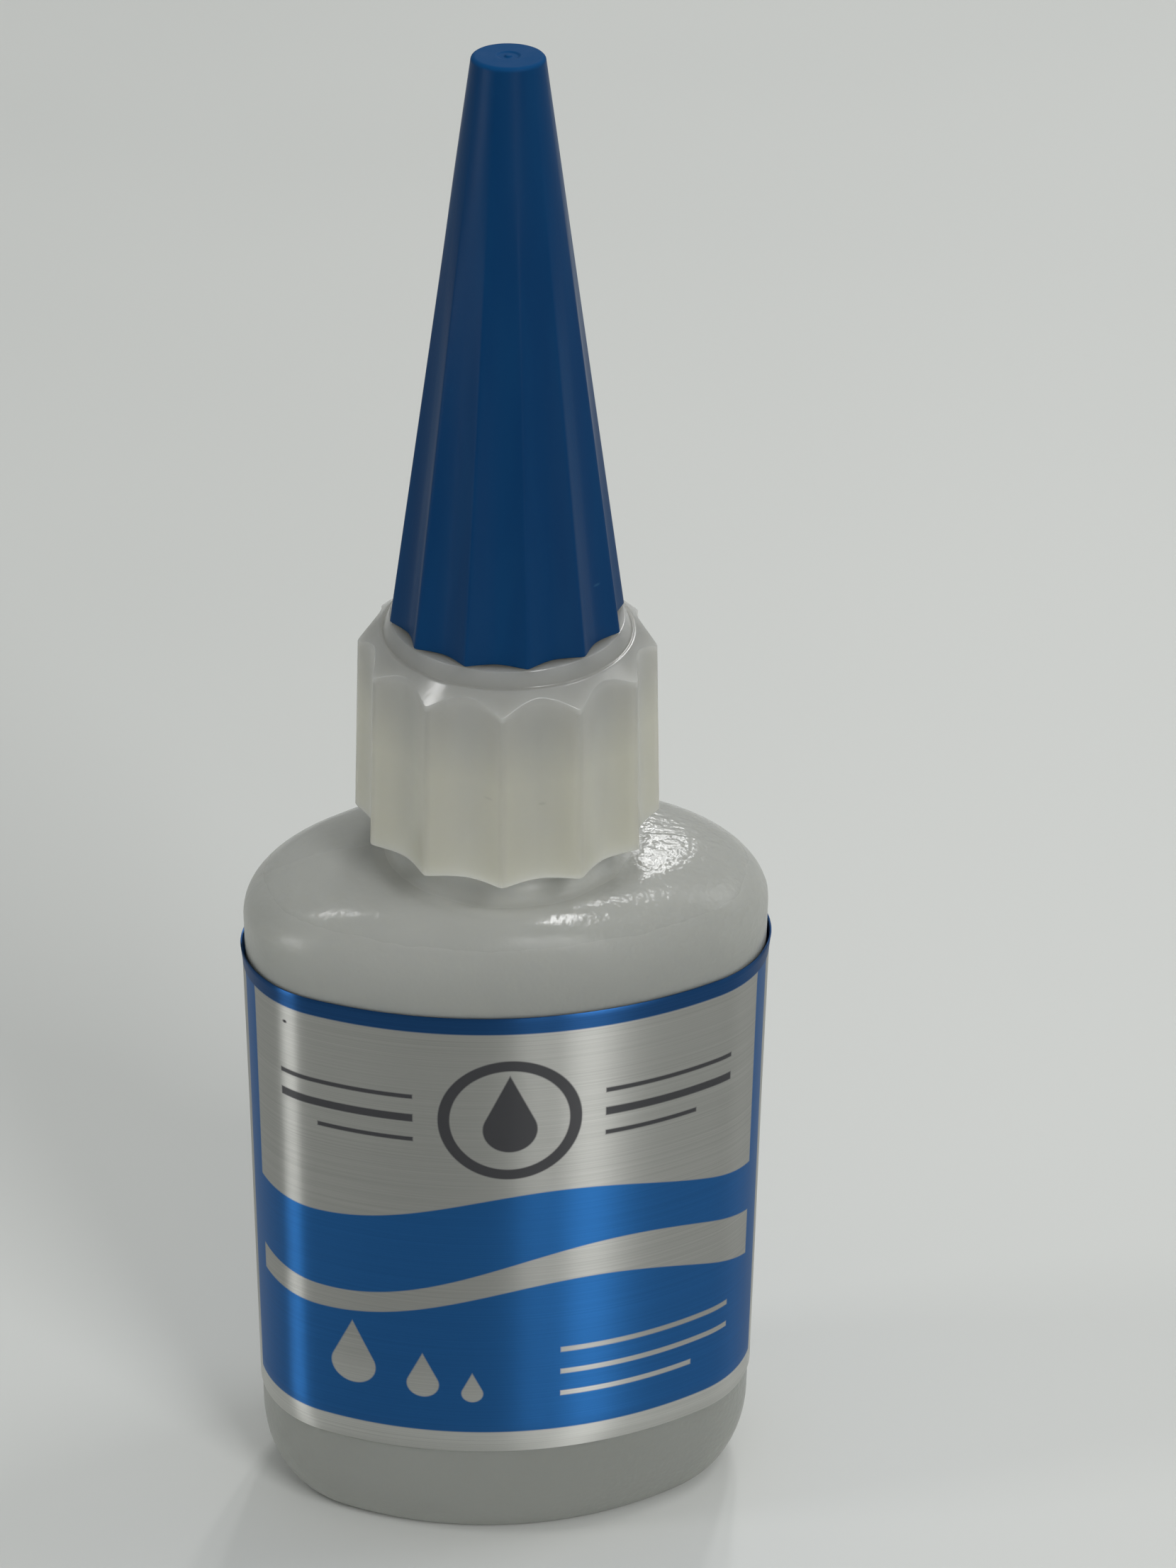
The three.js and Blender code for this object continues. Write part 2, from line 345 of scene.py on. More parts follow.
@dataclass(frozen=True)
class Value:
    """A socket that carries a number, so that sums can be written as expressions."""

    graph: "Graph"
    socket: bpy.types.NodeSocket

    __add__ = __radd__ = sums("ADD")
    __sub__, __rsub__ = sums("SUBTRACT"), sums("SUBTRACT", swapped=True)
    __mul__ = __rmul__ = sums("MULTIPLY")
    __abs__ = sums("ABSOLUTE")
    low, high = sums("MINIMUM"), sums("MAXIMUM")
    root, sine = sums("SQRT"), sums("SINE")

    def fit(self, low: float, high: float, to_low: float, to_high: float) -> "Value":
        """Maps one range to another and keeps to it."""
        ranges = {"From Min": low, "From Max": high, "To Min": to_low, "To Max": to_high}
        return self.graph.node("ShaderNodeMapRange", {"clamp": True}, {"Value": self, **ranges})

    def across(self, span: Span, to_low: float, to_high: float) -> "Value":
        """Maps a span in millimetres of this length in metres to a range and keeps to it."""
        return self.fit(span[0] * MM, span[1] * MM, to_low, to_high)

    def inside(self, soft: float) -> "Value":
        """Turns a signed distance into a mask: 1 inside, 0 outside, with a soft edge."""
        return self.fit(soft, -soft, 0, 1)


Number = Union[Value, float]


@dataclass(frozen=True)
class Noise:
    """Noise with so many features in a metre. A span of its values is stretched to 0 and 1."""

    per_metre: float
    detail: float = 2.0
    roughness: float = 0.5
    span: Optional[Span] = None


class Graph:
    """The node tree of one material, with its Principled shader."""

    def __init__(self, name: str) -> None:
        """Starts an empty material."""
        self.material = bpy.data.materials.new(name)
        self.material.use_nodes = True
        self.tree = self.material.node_tree
        self.tree.nodes.clear()
        self.output = self.tree.nodes.new("ShaderNodeOutputMaterial")

    def node(
        self,
        kind: str,
        settings: Optional[dict[str, Any]] = None,
        inputs: Optional[dict[Any, Any]] = None,
        out: Any = 0,
    ) -> Value:
        """Adds a node.

        Args:
            kind: Its type.
            settings: Its properties, which are set first.
            inputs: Values or links by socket name or number.
            out: The output that is wanted, by name or number.

        Returns:
            That output.
        """
        made = self.tree.nodes.new(kind)
        for key, value in (settings or {}).items():
            setattr(made, key, value)
        for key, value in (inputs or {}).items():
            if isinstance(value, Value):
                self.tree.links.new(value.socket, made.inputs[key])
            else:
                made.inputs[key].default_value = value
        return Value(self, made.outputs[out])

    def mix(self, share: Number, first: Any, second: Any) -> Value:
        """Mixes two colours, each a plain colour or a link, by the share of the second."""
        a, b = (c if isinstance(c, Value) else (*c, 1.0) for c in (first, second))
        return self.node("ShaderNodeMix", {"data_type": "RGBA"}, {0: share, 6: a, 7: b}, 2)

    def vector(self, operation: str, inputs: dict[Any, Any], out: Any = 0) -> Value:
        """Adds a Vector Math node."""
        return self.node("ShaderNodeVectorMath", {"operation": operation}, inputs, out)

    def shade(self, colour: Any, amount: Number) -> Value:
        """Multiplies a colour by a number, as a vector."""
        return self.vector("SCALE", {0: colour, "Scale": amount})

    def stretched(self, vector: Value, scale: Sequence[float]) -> Value:
        """Scales a vector along its three axes."""
        return self.vector("MULTIPLY", {0: vector, 1: tuple(scale)})

    def place(self) -> Value:
        """Object coordinates, in metres."""
        return self.node("ShaderNodeTexCoord", out="Object")

    def wrap(self) -> list[Value]:
        """Numbers of the piece's own map."""
        return self.parts(self.node("ShaderNodeUVMap", {"uv_map": WRAP_MAP}))

    def parts(self, vector: Value) -> list[Value]:
        """Splits a vector into its three numbers."""
        split = self.node("ShaderNodeSeparateXYZ", inputs={0: vector})
        return [Value(self, output) for output in split.socket.node.outputs]

    def noise(self, vector: Value, kind: Noise) -> Value:
        """Adds noise.

        Args:
            vector: Where it is read.
            kind: Its sizes.

        Returns:
            Its values.
        """
        sizes = {"Scale": kind.per_metre, "Detail": kind.detail, "Roughness": kind.roughness}
        found = self.node("ShaderNodeTexNoise", None, {"Vector": vector, **sizes})
        return found if kind.span is None else found.fit(*kind.span, 0, 1)

    def bump(self, height: Value, tall: float, strength: float = 1.0, **under: Value) -> Value:
        """Adds a bump so many millimetres tall, on the Normal of another if one is given."""
        inputs = {"Height": height, "Distance": tall * MM, "Strength": strength, **under}
        return self.node("ShaderNodeBump", None, inputs)

    def finish(self, **inputs: Any) -> bpy.types.Material:
        """Adds the Principled shader and closes the tree.

        Args:
            inputs: The shader's sockets, with _ for a space.

        Returns:
            The material.
        """
        named = {key.replace("_", " "): value for key, value in inputs.items()}
        shader = self.node("ShaderNodeBsdfPrincipled", None, named)
        self.tree.links.new(shader.socket, self.output.inputs["Surface"])
        return self.material


@dataclass(frozen=True)
class Mark:
    """A small soft spot on a surface: an ellipsoid round a point, in millimetres."""

    centre: Triple
    reach: Triple
    core: float = 0.4

    def mask(self, graph: Graph, place: Value) -> Value:
        """Works out the spot's share: 1 up to its core's share of the reach, 0 at the reach.

        Args:
            graph: The material's graph.
            place: Object coordinates.

        Returns:
            The share.
        """
        off = graph.vector("SUBTRACT", {0: place, 1: tuple(c * MM for c in self.centre)})
        scaled = graph.stretched(off, [1 / (r * MM) for r in self.reach])
        return graph.vector("LENGTH", {0: scaled}, "Value").fit(self.core, 1, 1, 0)


@dataclass(frozen=True)
class MilkyPlastic:
    """Natural polyethylene: cloudy, satin, faintly wavy where it was blown or moulded.

    Peel is the orange peel of the surface and sway its slow waves. Tones are factors
    on the colour. Levels, sides and reaches are in millimetres.
    """

    name: str
    colour: Colour
    cloud: Colour
    # The lower colour and the colour above its level differ by painted shade.
    lower: Colour
    lower_level: Span
    # Painted light: a factor that lightens the colour next to the upright axis.
    neck_painted_light: float
    neck_reach: Span
    roughness: float
    glow_depth: float
    peel_size: float
    peel_height: float
    sway_height: float
    gloss: float
    peel_side: Optional[Span] = None
    peel_calm: float = 1.0
    low_roughness: float = 0.0
    low_level: Span = (0.0, 1.0)
    # Painted shading across the flutes: painted shade on the ridges, painted light in the hollows,
    # by the piece's own map.
    flute_painted_shading: Optional[Span] = None
    # Painted shade on the very ridge.
    ridge_painted_shade: float = 1.0
    edge_width: float = 0.15
    marks: tuple[Mark, ...] = ()
    mark_tone: float = 0.9
    patchiness: float = 0.03
    glow_radius: Colour = (1.0, 0.95, 0.85)
    clouds: Noise = Noise(160, 3, span=(0.3, 0.7))
    patches: Noise = Noise(420)
    sway: Noise = Noise(130, 1)

    def make(self) -> bpy.types.Material:
        """Builds the finish: soft clouds in colour and roughness, orange peel over slow sway.

        The lower colour fades out over its level, and the step between it and the colour
        above is painted shade: on the bottle the upright wall below the shoulder is darker,
        on the top the parts under the cap are darker. The neck painted light lightens the
        colour next to the upright axis. The flute painted shading runs from painted shade on
        the ridges to painted light in the hollows, by the first number of the piece's own map,
        to even out the flutes' shading, with more painted shade on the very ridge. The peel
        is calm up to the first side and full from the second. The low roughness is added
        below its level and round the neck.

        Returns:
            The material.
        """
        graph = Graph(self.name)
        place = graph.place()
        x, y, z = graph.parts(place)
        off_axis = (x * x + y * y).root()
        colour = graph.mix(graph.noise(place, self.clouds), self.colour, self.cloud)
        # Painted shade: the colour steps to the lower colour below its level.
        colour = graph.mix(z.across(self.lower_level, 1, 0), colour, self.lower)
        # Painted shade on the ridges and painted light in the hollows, which evens out the flutes'
        # shading.
        if self.flute_painted_shading is not None:
            dip = graph.wrap()[0]
            edge = dip.fit(0, self.edge_width, self.ridge_painted_shade, 1)
            colour = graph.shade(colour, dip.fit(0, 1, *self.flute_painted_shading) * edge)
        # Painted light next to the upright axis.
        colour = graph.shade(colour, off_axis.across(self.neck_reach, self.neck_painted_light, 1))
        for mark in self.marks:
            colour = graph.shade(colour, mark.mask(graph, place).fit(0, 1, 1, self.mark_tone))
        peel = graph.noise(place, Noise(1 / (self.peel_size * MM), 1))
        if self.peel_side is not None:
            peel = peel * x.across(self.peel_side, self.peel_calm, 1)
        least, most = self.roughness - self.patchiness, self.roughness + self.patchiness
        roughness = graph.noise(place, self.patches).fit(0, 1, least, most)
        if self.low_roughness:
            low = z.across(self.low_level, self.low_roughness, 0)
            neck = off_axis.across(self.neck_reach, self.low_roughness, 0)
            roughness = roughness + low.high(neck)
        waves = graph.bump(graph.noise(place, self.sway), self.sway_height)
        return graph.finish(
            Base_Color=colour,
            Roughness=roughness,
            Normal=graph.bump(peel, self.peel_height, Normal=waves),
            Subsurface_Weight=1.0,
            Subsurface_Radius=self.glow_radius,
            Subsurface_Scale=self.glow_depth * MM,
            IOR=PLASTIC_IOR,
            Specular_IOR_Level=self.gloss,
        )


@dataclass(frozen=True)
class BlueMoulding:
    """Deep blue polyethylene with a satin, finely drawn surface."""

    colour: Colour = (0.001, 0.033, 0.109)
    worn: Colour = (0.0024, 0.0428, 0.127)
    flow_share: float = 0.5
    rub_share: float = 0.6
    # Painted light: the crown's top face lighter blue.
    crown: Colour = (0.001, 0.054, 0.17)
    crown_level: Span = (98.6, 98.78)
    crown_roughness: float = 0.3
    crown_rubbed: float = 0.7
    scuff: Mark = Mark((4.9, -3.5, 67.9), (0.34, 0.34, 0.1))
    scuff_colour: Colour = (0.02, 0.075, 0.16)
    scuff_share: float = 0.8
    roughness: Span = (0.31, 0.41)
    grain_height: float = 0.004
    gloss: float = 0.085
    drawn: Triple = (1.0, 1.0, 0.08)
    flow: Noise = Noise(700, 3, span=(0.35, 0.7))
    rubs: Noise = Noise(900, 4, 0.65, (0.62, 0.78))
    grain: Noise = Noise(5200)

    def make(self) -> bpy.types.Material:
        """Builds the finish: flow marks along the cone, grain, light rubs, a scuff, painted light
        on the crown.

        Returns:
            The material.
        """
        graph = Graph("cap_blue")
        place = graph.place()
        flow = graph.noise(graph.stretched(place, self.drawn), self.flow)
        rubs = graph.noise(place, self.rubs)
        crown = graph.parts(place)[2].across(self.crown_level, 0, 1)
        worn = (flow * self.flow_share).high(rubs * self.rub_share)
        colour = graph.mix(worn, self.colour, self.worn)
        # Painted light on the crown, broken up by the rubs.
        colour = graph.mix(crown * rubs.fit(0, 1, 1, self.crown_rubbed), colour, self.crown)
        scuffed = self.scuff.mask(graph, place) * self.scuff_share
        return graph.finish(
            Base_Color=graph.mix(scuffed, colour, self.scuff_colour),
            Roughness=flow.fit(0, 1, *self.roughness) + crown * self.crown_roughness,
            Normal=graph.bump(graph.noise(place, self.grain), self.grain_height),
            IOR=PLASTIC_IOR,
            Specular_IOR_Level=self.gloss,
        )


@dataclass(frozen=True)
class CloudedFinish:
    """A plain finish with faint clouds in its colour and its sheen, clear or not."""

    name: str
    colour: Colour
    cloud: Colour
    roughness: Span
    clouds: Noise
    ior: float
    clear: float = 0.0

    def make(self) -> bpy.types.Material:
        """Builds the finish.

        Returns:
            The material.
        """
        graph = Graph(self.name)
        share = graph.noise(graph.place(), self.clouds)
        return graph.finish(
            Base_Color=graph.mix(share, self.colour, self.cloud),
            Roughness=share.fit(0, 1, *self.roughness),
            Transmission_Weight=self.clear,
            IOR=self.ior,
        )


@dataclass(frozen=True)
class Wave:
    """A sine curve over the print: how much its angle grows in a millimetre, and its start."""

    per_mm: float
    start: float
    height: float
    level: float

    def at(self, x: Value) -> Value:
        """Height of the curve: its level plus its height times the sine of the angle."""
        return (x * self.per_mm + self.start).sine() * self.height + self.level


@dataclass(frozen=True)
class Rules:
    """A block of level rules: levels and half thicknesses, and where the last rule ends."""

    bars: tuple[Span, ...]
    middle: float
    half: float
    last_end: float

    def distance(self, x: Value, y: Value) -> Value:
        """Works out the signed distance: the nearest bar's, kept within the block.

        Args:
            x: Distance along the print.
            y: Distance above its foot.

        Returns:
            The distance, negative inside.
        """
        found = [abs(y - level) - thick for level, thick in self.bars]
        found[-1] = found[-1].high(x - self.last_end)
        return reduce(Value.low, found).high(abs(x - self.middle) - self.half)


@dataclass(frozen=True)
class PrintedFoil:
    """Brushed foil, printed with blue and charcoal inks that let the metal shine through.

    Print sizes are in millimetres from the middle of the print and from its foot.
    Drops are places and radii. Tones, roughness and relief are a plain part and the
    shares of the brush lines and of the fine lines.
    """

    length: float
    height: float
    silver: Colour = (0.418, 0.418, 0.397)
    blue: Colour = (0.024, 0.13, 0.366)
    band_blue: Colour = (0.018, 0.074, 0.208)
    charcoal: Colour = (0.03, 0.03, 0.034)
    soft: float = 0.05
    off_middle: float = 0.55
    head_band: float = 1.17
    foot_strip: float = 1.66
    # Painted reflection: the foil lighter towards its foot.
    foot_painted_reflection: float = 1.5
    foot_level: Span = (1.0, 9.0)
    front_half: float = 18.95
    wave: Wave = Wave(0.19, 0.9, 1.4, 19.6)
    ribbon: Wave = Wave(0.17, 0.5, 1.9, 13.3)
    ribbon_half: Wave = Wave(0.11, -0.6, 0.5, 1.3)
    drop_tip: float = 2.4
    drops: tuple[Triple, ...] = ((-10.2, 6.3, 1.5), (-5.6, 5.5, 1.05), (-2.4, 4.9, 0.7))
    lines: Rules = Rules(((8.2, 0.2), (6.4, 0.2), (4.6, 0.2)), 9.3, 6.0, 12.4)
    back_head: float = 17.0
    back_start: float = 20.4
    borders: Span = (18.15, 21.2)
    border_half: float = 0.8
    ring_level: float = 26.6
    ring: float = 4.1
    ring_half: float = 0.38
    ring_drop: Triple = (0.0, 25.9, 1.7)
    rules: Rules = Rules(((28.2, 0.17), (26.6, 0.3), (25.0, 0.17)), 10.4, 4.4, 12.2)
    notes: Rules = Rules(
        ((29.4, 0.16), (27.2, 0.16), (25.0, 0.16), (22.8, 0.16), (20.6, 0.16)), 31.0, 7.0, 38.0
    )
    fleck: Mark = Mark((-14.1, -5.4, 39.4), (0.22, 0.22, 0.16))
    brush: Noise = Noise(1, 4, 0.6, (0.25, 0.75))
    brush_scale: Span = (0.035, 9.0)
    fine: Noise = Noise(1, 2, 0.6)
    fine_scale: Span = (0.12, 26.0)
    tone: Triple = (0.76, 0.26, 0.2)
    ink_tone: Triple = (0.9, 0.2, 0.0)
    rough: Triple = (0.31, 0.04, 0.03)
    ink_rough: float = 0.01
    ink_cover: float = 0.9
    relief: Triple = (0.0, 0.5, 0.5)
    relief_height: float = 0.004
    relief_strength: float = 0.6

    def drop(self, x: Value, y: Value, place: Triple) -> Value:
        """Works out the signed distance of a drop with its tip up.

        The drop is a circle below, and above it a cone whose sides touch the circle
        and meet so many radii above its middle.

        Args:
            x: Distance along the print.
            y: Distance above its foot.
            place: Both distances of the drop's middle, and the circle's radius.

        Returns:
            The distance, negative inside.
        """
        x, y, radius = x - place[0], y - place[1], place[2]
        slope = 1 / self.drop_tip
        side = abs(x) * math.sqrt(1 - slope * slope) + y * slope - radius
        return ((x * x + y * y).root() - radius).low(side.high(radius * slope - y))

    def blue_print(self, x: Value, y: Value) -> Value:
        """Works out the signed distance of the blue print below the band at the head.

        The front's field ends in a wave and leaves out a ribbon, drops and lines. The
        back has a plain field, and upright borders stand between the two.

        Args:
            x: Distance along the print.
            y: Distance above its foot.

        Returns:
            The distance, negative inside.
        """
        side, strip = abs(x), self.foot_strip - y
        ribbon = abs(y - self.ribbon.at(x)) - self.ribbon_half.at(x)
        left_out = [ribbon, *(self.drop(x, y, place) for place in self.drops)]
        silver = reduce(Value.low, left_out).low(self.lines.distance(x, y))
        front = (y - self.wave.at(x)).high(strip).high(side - self.front_half).high(-1 * silver)
        back = (y - self.back_head).high(strip).high(self.back_start - side)
        borders = [abs(side - middle) - self.border_half for middle in self.borders]
        return front.low(back).low(reduce(Value.low, borders).high(strip))

    def dark_print(self, x: Value, y: Value) -> Value:
        """Works out the signed distance of the charcoal print: a drop in a ring, and rules.

        Args:
            x: Distance along the print.
            y: Distance above its foot.

        Returns:
            The distance, negative inside.
        """
        side, up = abs(x), y - self.ring_level
        ring = abs((x * x + up * up).root() - self.ring) - self.ring_half
        marks = ring.low(self.drop(x, y, self.ring_drop))
        return marks.low(self.rules.distance(side, y)).low(self.notes.distance(side, y))

    def make(self) -> bpy.types.Material:
        """Builds the finish: brush lines along the wrap under the inks of the print.

        Returns:
            The material.
        """
        graph = Graph("printed_foil")
        u, v, _ = graph.wrap()
        x, y = (u - 0.5) * self.length + self.off_middle, v * self.height
        lines = []
        for kind, (along, up) in ((self.brush, self.brush_scale), (self.fine, self.fine_scale)):
            place = graph.node("ShaderNodeCombineXYZ", None, {0: x * along, 1: y * up})
            lines.append(graph.noise(place, kind))
        brush, fine = lines

        def lined(shares: Triple) -> Value:
            """Adds shares of the brush lines and the fine lines to a plain part."""
            return brush * shares[1] + fine * shares[2] + shares[0]

        band = (self.height - self.head_band) - y
        blue_ink = self.blue_print(x, y).low(band).inside(self.soft)
        dark_ink = self.dark_print(x, y).inside(self.soft)
        # Painted reflection: the metal brighter towards the foot.
        shine = y.fit(*self.foot_level, self.foot_painted_reflection, 1)
        metal = graph.shade(self.silver, lined(self.tone) * shine)
        inks = graph.mix(band.inside(self.soft), self.blue, self.band_blue)
        printed = graph.mix(blue_ink, metal, graph.shade(inks, lined(self.ink_tone)))
        dark = dark_ink.high(self.fleck.mask(graph, graph.place()))
        return graph.finish(
            Base_Color=graph.mix(dark, printed, self.charcoal),
            Metallic=1 - dark_ink * self.ink_cover,
            Roughness=lined(self.rough) + blue_ink * self.ink_rough,
            Normal=graph.bump(lined(self.relief), self.relief_height, self.relief_strength),
            Anisotropic=1.0,
            Anisotropic_Rotation=0.25,
            IOR=PLASTIC_IOR,
        )


CLEAR_LIQUID = CloudedFinish(
    "clear_adhesive", (0.9, 0.92, 0.89), (0.86, 0.88, 0.84), (0.03, 0.08), Noise(90), 1.44, 0.9
)
PALE_TABLE = CloudedFinish(
    "pale_table", (0.605, 0.616, 0.598), (0.646, 0.654, 0.633), (0.45, 0.55), Noise(9), 1.45
)
BOTTLE_PLASTIC = MilkyPlastic(
    "bottle_polyethylene",
    colour=(0.4, 0.405, 0.383),
    cloud=(0.425, 0.43, 0.406),
    # Painted shade: the upright wall below the shoulder darker than the shoulder.
    lower=(0.271, 0.278, 0.257),
    lower_level=(40.0, 48.0),
    # Painted light that lifts the shade under the collar.
    neck_painted_light=1.38,
    neck_reach=(7.2, 8.4),
    roughness=0.19,
    glow_depth=1.8,
    peel_size=0.45,
    peel_height=0.055,
    sway_height=0.06,
    gloss=0.42,
    peel_side=(1.5, 7.0),
    peel_calm=0.35,
    low_roughness=0.14,
    low_level=(45.8, 47.2),
)
TOP_PLASTIC = MilkyPlastic(
    "top_polyethylene",
    # Painted shade: the parts above the lower level, under the cap, darker than the skirt's lower
    # colour.
    colour=(0.305, 0.307, 0.292),
    cloud=(0.335, 0.337, 0.319),
    lower=(0.462, 0.455, 0.388),
    lower_level=(57.5, 62.5),
    # Painted light that lightens the nozzle.
    neck_painted_light=1.35,
    neck_reach=(4.0, 5.0),
    roughness=0.17,
    glow_depth=7.0,
    peel_size=0.5,
    peel_height=0.004,
    sway_height=0.03,
    gloss=0.6,
    # Painted shading that evens out the flutes' light and shade.
    flute_painted_shading=(0.82, 1.09),
    ridge_painted_shade=0.92,
    marks=(
        Mark((-1.8, -8.5, 56.7), (0.42, 0.42, 0.12)),
        Mark((1.4, -8.2, 56.0), (0.3, 0.3, 0.14)),
    ),
)


@dataclass
class Bottle:
    """Blow-moulded oval bottle: base, heel, wall, domed shoulder and threaded neck, hollow."""

    oval: Oval
    height: float = 44.0
    wall: float = 0.9
    rise: float = 4.45
    heel: float = 5.0
    heel_end: float = 2.6
    heel_face: float = 1.3
    foot_width: float = 1.6
    push_up: float = 1.2
    neck: float = 6.2
    bore: float = 5.0
    neck_height: float = 12.4
    root_fillet: float = 1.5
    land_edge: float = 0.25
    bore_end: float = 1.0
    seam_height: float = 0.022
    seam_width: float = 0.22
    seam_foot: Span = (0.4, 2.0)
    seam_neck: Span = (0.3, 2.5)
    seam_columns: tuple[float, ...] = (0.06, 0.12, 0.2, 0.3, 0.45, 0.65)
    seam_clear: float = 0.75
    columns: int = 264
    middle: float = 0.06
    push_up_steps: int = 9
    foot_steps: int = 4
    heel_steps: int = 13
    dome_steps: int = 22
    root_steps: int = 7
    thread_steps: int = 46
    edge_steps: int = 5
    bore_steps: int = 5
    thread: ScrewThread = ScrewThread(2.7, 0.34, 1.5, 51.6, 58.6)

    @property
    def shoulder_top(self) -> float:
        """Height at which the neck starts."""
        return self.height + self.rise

    @property
    def land(self) -> float:
        """Height of the sealing land."""
        return self.shoulder_top + self.neck_height

    @property
    def lengths(self) -> np.ndarray:
        """Columns' lengths along the outline: even, and closer at the mould's parting line."""
        whole = self.oval.around()
        even = np.arange(self.columns) * whole / self.columns
        close = np.array(self.seam_columns)
        near = np.concatenate([-close, [0], close])
        ends = np.concatenate([near % whole, near + whole / 2])
        return np.sort(np.concatenate([even[self.oval.off_ends(even) > self.seam_clear], ends]))

    @property
    def angles(self) -> np.ndarray:
        """Normal angles of the columns."""
        return self.oval.angles_at(self.lengths, 0)

    @staticmethod
    def rows(
        *, x: Any = 1.0, y: Any = 1.0, oval: Any = 1.0, circle: Any = 0.0, z: Any = 0.0
    ) -> np.ndarray:
        """Lists rows: scales and share of the oval, radius of the circle with the rest, height."""
        parts = [np.atleast_1d(a).astype(float) for a in (x, y, oval, circle, z)]
        return np.stack(np.broadcast_arrays(*parts), -1)

    def round_rows(self, circle: Any, z: Any) -> np.ndarray:
        """Lists rows that are whole circles."""
        return self.rows(oval=0, circle=circle, z=z)

    def wall_rows(self, top: float, count: int) -> np.ndarray:
        """Lists rows of the straight wall between the heel and a top, both left out."""
        return self.rows(z=np.linspace(self.heel, top, count)[1:-1])

    def base_rows(self, inset: float) -> np.ndarray:
        """Works out the rows of the base, from the middle of the push-up out and up to the wall.

        The push-up is a parabola of its share of the rim. The heel is a quarter of an
        ellipse from the foot ring to the wall.

        Args:
            inset: How far the surface is inside the outer one.

        Returns:
            The rows.
        """
        half = np.array([self.oval.half_width, self.oval.half_depth])[:, None]
        foot = 1 - np.array([self.heel_end, self.heel_face])[:, None] / half
        rim = foot - self.foot_width / half
        t = np.linspace(self.middle, 1, self.push_up_steps)
        across = np.linspace(0, 1, self.foot_steps)[1:-1]
        a = np.linspace(0, QUARTER_TURN, self.heel_steps)
        scales = [rim * t, rim + (foot - rim) * across, foot + (1 - foot) * np.sin(a)]
        rises = [self.push_up * (1 - t * t), 0.0, (self.heel - inset) * (1 - np.cos(a))]
        return np.concatenate(
            [self.rows(x=x, y=y, z=inset + rise) for (x, y), rise in zip(scales, rises)]
        )

    def dome_rows(self, inset: float, circle: float) -> np.ndarray:
        """Rows of the shoulder: in every upright plane a quarter ellipse from oval to circle."""
        a = np.linspace(QUARTER_TURN, 0, self.dome_steps)
        z = self.height + (self.rise - inset) * np.cos(a)
        return self.rows(oval=np.sin(a), circle=circle, z=z)

    def rings(self, rows: np.ndarray, inset: float = 0.0) -> np.ndarray:
        """Carries rows round: the scaled oval's share plus the rest of a circle that way.

        Args:
            rows: The rows.
            inset: How far the oval is moved in.

        Returns:
            The rings.
        """
        flat = self.oval.points(self.angles, inset)
        out = flat / np.linalg.norm(flat, axis=-1, keepdims=True)
        share = rows[:, None, 2:3]
        level = share * flat * rows[:, None, :2] + (1 - share) * rows[:, None, 3:4] * out
        z = np.broadcast_to(rows[:, None, 4:5], level.shape[:2] + (1,))
        return np.concatenate([level, z], -1)

    def outside(self) -> np.ndarray:
        """Builds the outer rings, with the fine line where the mould parted at both ends.

        The line is a bell curve across the outline, carried up the heel, wall and
        shoulder and faded out at the foot and at the neck.

        Returns:
            Rings from the push-up to the top of the neck's root.
        """
        a = np.linspace(0, QUARTER_TURN, self.root_steps)[1:]
        root = self.root_fillet
        rows = np.concatenate([
            self.base_rows(0),
            self.wall_rows(self.height, 12),
            self.dome_rows(0, self.neck + root),
            self.round_rows(
                self.neck + root * (1 - np.sin(a)), self.shoulder_top + root * (1 - np.cos(a))
            ),
        ])
        rings = self.rings(rows)
        off = self.oval.off_ends(self.lengths)
        line = self.seam_height * np.exp(-((off / self.seam_width) ** 2))
        z, reach = rings[:, :1, 2], np.abs(rings[:, :, 0]).max(axis=1, keepdims=True)
        fade = smooth_step(z, *self.seam_foot) * smooth_step(reach - self.neck, *self.seam_neck)
        tilt = np.clip((z - self.height) / self.rise, 0, 1)
        sign = np.sign(rings[:, :, 0])
        rings[:, :, 0] += line * fade * sign * (1 - tilt)
        rings[:, :, 2] += line * fade * tilt
        return rings

    def neck_rings(self) -> np.ndarray:
        """Builds the threaded neck and its rounded land, down to the bore's upper edge.

        Returns:
            The rings.
        """
        edge, foot = self.land_edge, self.shoulder_top + self.root_fillet
        a = np.linspace(0, QUARTER_TURN, self.edge_steps)
        sunk, grown = edge * (1 - np.sin(a)), edge * (1 - np.cos(a))
        up = np.linspace(foot, self.land - edge, self.thread_steps)[1:]
        rows = np.concatenate([
            self.round_rows(self.neck, up),
            self.round_rows(self.neck - grown[1:], self.land - sunk[1:]),
            self.round_rows(self.bore + sunk, self.land - grown),
        ])
        rings = self.rings(rows)
        x, y, z = np.moveaxis(rings, -1, 0)
        radius = np.hypot(x, y)
        on_wall = np.abs(radius - self.neck) < SAME
        growth = 1 + on_wall * self.thread.rise(np.arctan2(y, x), z) / radius
        rings[:, :, :2] *= growth[:, :, None]
        return rings

    def build(self) -> None:
        """Builds the bottle: its outside up to the land, then its inside down to the base."""
        up = np.linspace(self.shoulder_top, self.land - self.bore_end, self.bore_steps)
        inside = np.concatenate([
            self.base_rows(self.wall),
            self.wall_rows(self.height, 7),
            self.dome_rows(self.wall, self.bore)[::2],
            self.round_rows(self.bore, up),
        ])
        rings = [self.outside(), self.neck_rings(), self.rings(inside, self.wall)[::-1]]
        skin = Skin("bottle_shell", np.concatenate(rings), Ends.CAPPED)
        skin.place("bottle", "bottle", "bottle_plastic", BOTTLE_PLASTIC.make())


